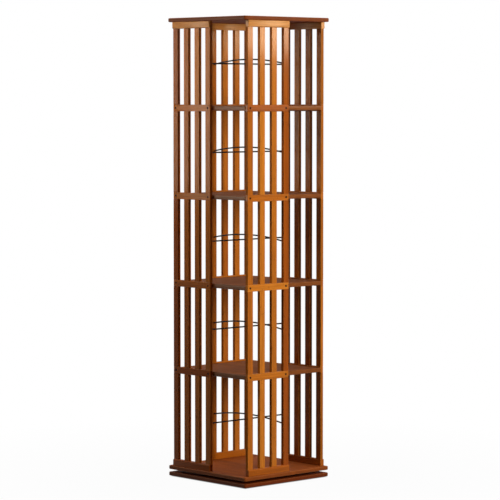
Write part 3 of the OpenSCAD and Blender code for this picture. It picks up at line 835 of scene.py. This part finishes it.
def hardware(name, tones, grit, roughness, metallic, bump=0.1, specular=0.5, lathe=False):
    """Two tones mixed by a noise of the given size, read at (x, y, z), or on a lathe at (radius, 0, z)."""
    material, tree = new_material(name)
    at = put(tree, "ShaderNodeTexCoord").outputs["Object"]
    if lathe:
        axes = put(tree, "ShaderNodeSeparateXYZ", {0: at}).outputs
        flat = put(tree, "ShaderNodeCombineXYZ", {0: axes[0], 1: axes[1]}).outputs[0]
        radius = put(tree, "ShaderNodeVectorMath", {0: flat}, operation="LENGTH").outputs["Value"]
        at = put(tree, "ShaderNodeCombineXYZ", {0: radius, 2: axes[2]}).outputs[0]
    fine = {"Vector": at, "Scale": 1 / grit, "Detail": GRIT_DETAIL}
    noise = put(tree, "ShaderNodeTexNoise", fine).outputs[0]
    light, dark = tones
    tint = put(tree, "ShaderNodeMix", {0: noise, 6: linear(dark), 7: linear(light)}, data_type="RGBA")
    gloss = {"Value": noise, "To Min": roughness - GLOSS_SWING, "To Max": roughness + GLOSS_SWING}
    relief = {"Strength": bump, "Distance": GRIT_DEPTH, "Height": noise}
    sockets = {
        "Base Color": tint.outputs[2],
        "Roughness": put(tree, "ShaderNodeMapRange", gloss).outputs[0],
        "Metallic": metallic,
        "Specular IOR Level": specular,
        "Normal": put(tree, "ShaderNodeBump", relief).outputs[0],
    }
    finish_surface(tree, sockets)
    return material


print("grit stands up by", GRIT_DEPTH / MM, "mm")

# %% [markdown]
# Bearing, screws and pads
# Bare metals get a metallic surface; coatings, nylon and rubber do not. The size of the grit follows how
# a surface was made: tool marks on turned rings, a faint cloud on polished balls, the skin of moulded
# nylon and rubber. Real tool marks are a tenth of a millimetre apart and are drawn coarser to show.

# %% Dress the hardware
# after the two tones come the size of the grit, the roughness, metal or not, the bump and the gloss

# turned aluminium: a pale grey with fine bright circles
ring_metal = hardware("aluminium_turned", ("#DADBDC", "#A2A4A8"), 1.2 * MM, 0.36, 1.0, 0.2, lathe=True)
# ball steel: nearly a mirror, with the faintest cloud
ball_metal = hardware("ball_steel_polished", ("#C9CBCE", "#A9ABAF"), 2.0 * MM, 0.16, 1.0, 0.02)
# natural nylon: a waxy yellowish white with a soft sheen
cage_nylon = hardware("nylon_natural_moulded", ("#D8D2BE", "#BEB69E"), 1.5 * MM, 0.5, 0.0)
# blackened steel: a brown black that shows only a dull glint in its socket
screw_black = hardware("steel_black_coated", ("#1A100B", "#0C0705"), 0.8 * MM, 0.5, 0.0, 0.1, 0.06)
# soft rubber: dark and matt, with a coarse moulded grain
pad_rubber = hardware("rubber_floor_pad", ("#3A3632", "#26231F"), 0.9 * MM, 0.8, 0.0, 0.4)
WEARS = {
    "bearing_outer_ring": ring_metal,
    "bearing_inner_ring": ring_metal,
    "bearing_balls": ball_metal,
    "ball_cage": cage_nylon,
    "case_screws": screw_black,
    "outer_ring_screws": screw_black,
    "inner_ring_screws": screw_black,
    "base_pads": pad_rubber,
}
for name, material in WEARS.items():
    for slot in nodes[name].material_slots:
        slot.material = material
print("hardware nodes dressed:", len(WEARS))

# %% [markdown]
# Stop rods
# Halfway up every tier two thin steel rods cross at the turning axis and stop what is pushed in too far.
# Their ends sit in blind holes in the panels' inner slats, all at one height, so one rod is straight and
# the other is bowed to pass over it. A curve object with a round bevel would give the same shape. Here a
# rod is worked out as a circle carried along a path, so that its ends can be eased.

# %% Paths of the rods
ROD_HOLD, ROD_RISE = 6 * MM, 16 * MM
STRAIGHT_STEPS, BOWED_STEPS = 9, 49


def straight_path():
    """Line along x through the axis, from one blind hole's floor to the other."""
    reach = FACE_IN + ROD_HOLD
    x = np.linspace(-reach, reach, STRAIGHT_STEPS)
    return np.stack([x, 0 * x, 0 * x], axis=-1)


def bowed_path():
    """Arc over x: with R = (h * h + rise * rise) / (2 * rise) for the half span h, a point at the angle
    a from the top is (R sin a, 0, rise - R + R cos a)."""
    big = (FACE_IN**2 + ROD_RISE**2) / (2 * ROD_RISE)
    end = math.asin(FACE_IN / big) + ROD_HOLD / big
    a = np.linspace(-end, end, BOWED_STEPS)
    return np.stack([big * np.sin(a), 0 * a, ROD_RISE - big + big * np.cos(a)], axis=-1)


print("bowed rod stands above the straight one by", round(bowed_path()[:, 2].max(), 4), "m")

# %% [markdown]
# A rod along its path
# The path gets one more point near each end, where the circle reaches its full radius, and the cut ends
# are eased in that way.

# %% One rod
ROD_R, ROD_EASE, ROD_SIDES = 2.5 * MM, 0.6 * MM, 20
SIDEWAYS = np.array([0, 1.0, 0])


def rod(path):
    """Circle carried along a path in the xz plane: its ring is r cos b times the y axis plus r sin b times
    the path's normal, and the first and last ring are drawn in to ease the cut ends."""
    along = np.gradient(path, axis=0)
    along = along / np.linalg.norm(along, axis=1, keepdims=True)
    inner = path[[0, -1]] + along[[0, -1]] * np.array([[ROD_EASE], [-ROD_EASE]])
    path = np.concatenate([path[:1], inner[:1], path[1:-1], inner[1:], path[-1:]])
    along = np.concatenate([along[:1], along, along[-1:]])
    r = np.full(len(path), ROD_R)
    r[[0, -1]] = ROD_R - ROD_EASE
    b = np.linspace(0, 2 * np.pi, ROD_SIDES, endpoint=False)[:, None]
    normal = np.cross(along, SIDEWAYS)[:, None, :]
    return skin(path[:, None, :] + r[:, None, None] * (np.cos(b) * SIDEWAYS + np.sin(b) * normal))


print("points of a straight and a bowed rod:", [len(rod(p())[0]) for p in (straight_path, bowed_path)])

# %% [markdown]
# Rods in the tiers
# A tier's middle lies halfway between the board or shelf below it and the one above. All ten rods are one
# piece, because the CAD model keeps them in one node.

# %% Rods across the tiers
# powder coating on drawn steel: nearly black, a soft sheen, and the fine ripple that baked powder leaves
rod_coat = hardware("steel_rod_black_powder_coat", ("#1E0E09", "#120906"), 1.4 * MM, 0.5, 0.0, 0.3, 0.1)
floors = [span("bottom_board")[1][2]] + [span(f"shelf_{i}")[1][2] for i in SHELVES]
ceilings = [span(f"shelf_{i}")[0][2] for i in SHELVES] + [span("top_board")[0][2]]
middles = (np.array(floors) + np.array(ceilings)) / 2
rods = []
for middle in middles:
    for turn, path in ((quarter_turns(1), straight_path()), (quarter_turns(0), bowed_path())):
        points, faces = rod(path)
        rods.append((points @ turn.T + middle * UP, faces))
smooth_piece("stop_rod_set", *joined(rods), rod_coat, "stop_rods", "rod_steel")
print("stop rods:", len(rods), "heights:", middles.round(4).tolist())

# %% [markdown]
# Camera
# The photograph was taken with a long lens from about eight metres away, a little below the top of the
# case, with the corner between the front and the right face nearest. The numbers come from fitting a
# camera to the corners of the boards.

# %% Camera
CAMERA_AZIMUTH, CAMERA_TILT = math.radians(47.232), math.radians(3.620)
CAMERA_BACK, CAMERA_SIDE, CAMERA_UP = 8.4862, 0.0055, 1.3384
SENSOR_MM, LENS_MM, SIGHT_M = 36.0, 174.27, 100
lens = bpy.data.cameras.new("camera")
lens.sensor_width, lens.lens, lens.clip_end = SENSOR_MM, LENS_MM, SIGHT_M
camera = bpy.data.objects.new("camera", lens)
scene.collection.objects.link(camera)
right = Vector((math.cos(CAMERA_AZIMUTH), math.sin(CAMERA_AZIMUTH), 0))
ahead = Vector((-math.sin(CAMERA_AZIMUTH), math.cos(CAMERA_AZIMUTH), 0))
camera.location = -ahead * CAMERA_BACK + right * CAMERA_SIDE + Vector((0, 0, CAMERA_UP))
camera.rotation_euler = (math.pi / 2 - CAMERA_TILT, 0, CAMERA_AZIMUTH)
scene.camera = camera
print("camera at", tuple(round(v, 3) for v in camera.location))

# %% [markdown]
# Studio lamps
# A tall soft box at the right is the key and lights the right-hand face, and a small box with a narrow
# beam opens the shadow on the front. Soft boxes at the left and behind light the two faces that the
# camera does not see, and one overhead lights the top board. The lacquer mirrors two boxes of its own: a
# thin strip near the top of the right face and a tall one in the upper half of the front. A lamp here
# does one thing: it lights surfaces, or it shows in their gloss. The brightness and the highlights can
# then be set apart, and no shelf mirrors a lamp as a white sheet when it is seen at a flat angle.


# %% Lamps
def lamp(name, place, target, size, watts, colour, gloss=False, beam=180):
    """Area lamp, width by height, that looks from its place to a target within a beam in degrees."""
    light = bpy.data.lights.new(name, "AREA")
    light.shape, light.size, light.size_y = "RECTANGLE", size[0], size[1]
    light.energy, light.color, light.spread = watts, linear(colour)[:3], math.radians(beam)
    thing = bpy.data.objects.new(name, light)
    thing.location = place
    thing.rotation_euler = (Vector(target) - Vector(place)).to_track_quat("-Z", "Y").to_euler()
    thing.visible_diffuse, thing.visible_glossy = not gloss, gloss
    scene.collection.objects.link(thing)


lamp("key_right", (3.25, 0.16, 1.6), (0.2, -0.1, 1.0), (0.4, 1.8), 107, "#FFFDF6")
lamp("fill_front", (-0.5, -1.5, 1.9), (-0.1, -0.2, 1.3), (0.6, 0.6), 5.0, "#F8F6FF", beam=110)
lamp("fill_left", (-3.2, -0.1, 1.5), (0.0, 0.0, 0.8), (0.8, 1.8), 60, "#FFF6EA")
lamp("fill_back", (0.1, 3.2, 1.5), (0.0, 0.0, 0.8), (0.8, 1.8), 60, "#FFF6EA")
lamp("overhead", (0.2, 0.2, 3.6), (0.0, 0.0, 1.6), (1.0, 1.0), 30, "#FFF8F2")
lamp("gloss_right", (2.05, 1.72, 1.63), (0.2, -0.1, 1.57), (0.7, 0.16), 22, "#FFFFF4", gloss=True)
lamp("gloss_left", (-1.66, -1.98, 1.36), (-0.1, -0.2, 1.36), (0.5, 0.9), 26, "#FFFFFF", gloss=True)

# %% [markdown]
# White sky
# A white background must not mean more light on the object. The sky is white only for the rays that carry
# a picture, those of the camera, of a gloss and of a glass, and for rays of light it is a weak warm glow.

# %% Sky
SKY_LEVEL, SKY_TINT, WHITE = 0.042, linear("#FFDFC0"), linear("#FFFFFF")


def rays_that_see(tree):
    """1 for rays that carry a picture, from the camera, a gloss or a glass, and 0 for rays of light."""
    path = put(tree, "ShaderNodeLightPath")
    kinds = {0: path.outputs["Is Camera Ray"], 1: path.outputs["Is Glossy Ray"]}
    seen = put(tree, "ShaderNodeMath", kinds, operation="MAXIMUM")
    kinds = {0: seen.outputs[0], 1: path.outputs["Is Transmission Ray"]}
    return put(tree, "ShaderNodeMath", kinds, operation="MAXIMUM").outputs[0]


world = bpy.data.worlds.new("studio_sky")
world.use_nodes = True
scene.world = world
sky = world.node_tree
sky.nodes.clear()
seen = rays_that_see(sky)
level = put(sky, "ShaderNodeMapRange", {"Value": seen, "To Min": SKY_LEVEL, "To Max": 1.0})
tint = put(sky, "ShaderNodeMix", {0: seen, 6: SKY_TINT, 7: WHITE}, data_type="RGBA")
dome = put(sky, "ShaderNodeBackground", {"Color": tint.outputs[2], "Strength": level.outputs[0]})
put(sky, "ShaderNodeOutputWorld", {"Surface": dome.outputs[0]})
print("sky gives", SKY_LEVEL, "of white")

# %% [markdown]
# Floor The floor is a wide flat disc, which is a lathe shape too: four circles at one height.

# %% Floor
FLOOR_RADII, FLOOR_SIDES = (60.0, 8.0, 2.0, 0.5), 96
points, faces = turned(FLOOR_RADII, np.zeros(len(FLOOR_RADII)), FLOOR_SIDES)
# the end face over the widest circle looks down and is left out
floor = plain_object("floor", points, faces[:-2] + faces[-1:])
print("floor of", FLOOR_RADII[0], "m radius")

# %% [markdown]
# White studio paper
# What the camera sees of the paper is mostly plain white, with a share of real shading that keeps the soft
# shadow. Under the base a square mask, set by place, takes most of the white away, which is painted shade.
# Plain shading alone would need far more light to look white, and that light would fall on the case as
# well.

# %% Paper on the floor
PAPER_NEAR, PAPER_FAR, PAPER_SHARE = 0.3, 1.6, 0.97
UNDER_EDGE, UNDER_SHARE = 12 * MM, 0.1
BASE_HALF = span("base_board")[1][0]
# matt studio paper: a flat white without a sheen, greyer where the case shades it, and painted shade under
# the base
paper, tree = new_material("white_studio_paper")
spot = put(tree, "ShaderNodeTexCoord").outputs["Object"]
reach = put(tree, "ShaderNodeVectorMath", {0: spot}, operation="LENGTH").outputs["Value"]
away = {"Value": reach, "From Min": PAPER_NEAR, "From Max": PAPER_FAR, "To Min": PAPER_SHARE}
away = put(tree, "ShaderNodeMapRange", away).outputs[0]
sides = put(tree, "ShaderNodeVectorMath", {0: spot}, operation="ABSOLUTE").outputs[0]
sides = put(tree, "ShaderNodeSeparateXYZ", {0: sides}).outputs
square = put(tree, "ShaderNodeMath", {0: sides[0], 1: sides[1]}, operation="MAXIMUM").outputs[0]
# a square mask by place drops the white under the base to a tenth: painted shade
under = {"Value": square, "From Min": BASE_HALF - UNDER_EDGE, "From Max": BASE_HALF, "To Min": UNDER_SHARE}
under = put(tree, "ShaderNodeMapRange", under).outputs[0]
plain = put(tree, "ShaderNodeMath", {0: away, 1: under}, operation="MULTIPLY").outputs[0]
plain = put(tree, "ShaderNodeMath", {0: rays_that_see(tree), 1: plain}, operation="MULTIPLY").outputs[0]
shade = put(tree, "ShaderNodeBsdfDiffuse", {"Color": linear("#5C5A58")}).outputs[0]
glow = put(tree, "ShaderNodeEmission", {"Color": WHITE, "Strength": 1.0}).outputs[0]
mixed = put(tree, "ShaderNodeMixShader", {0: plain, 1: shade, 2: glow}).outputs[0]
put(tree, "ShaderNodeOutputMaterial", {"Surface": mixed})
floor.data.materials.append(paper)
print("paper is plain white from", PAPER_FAR, "m on")
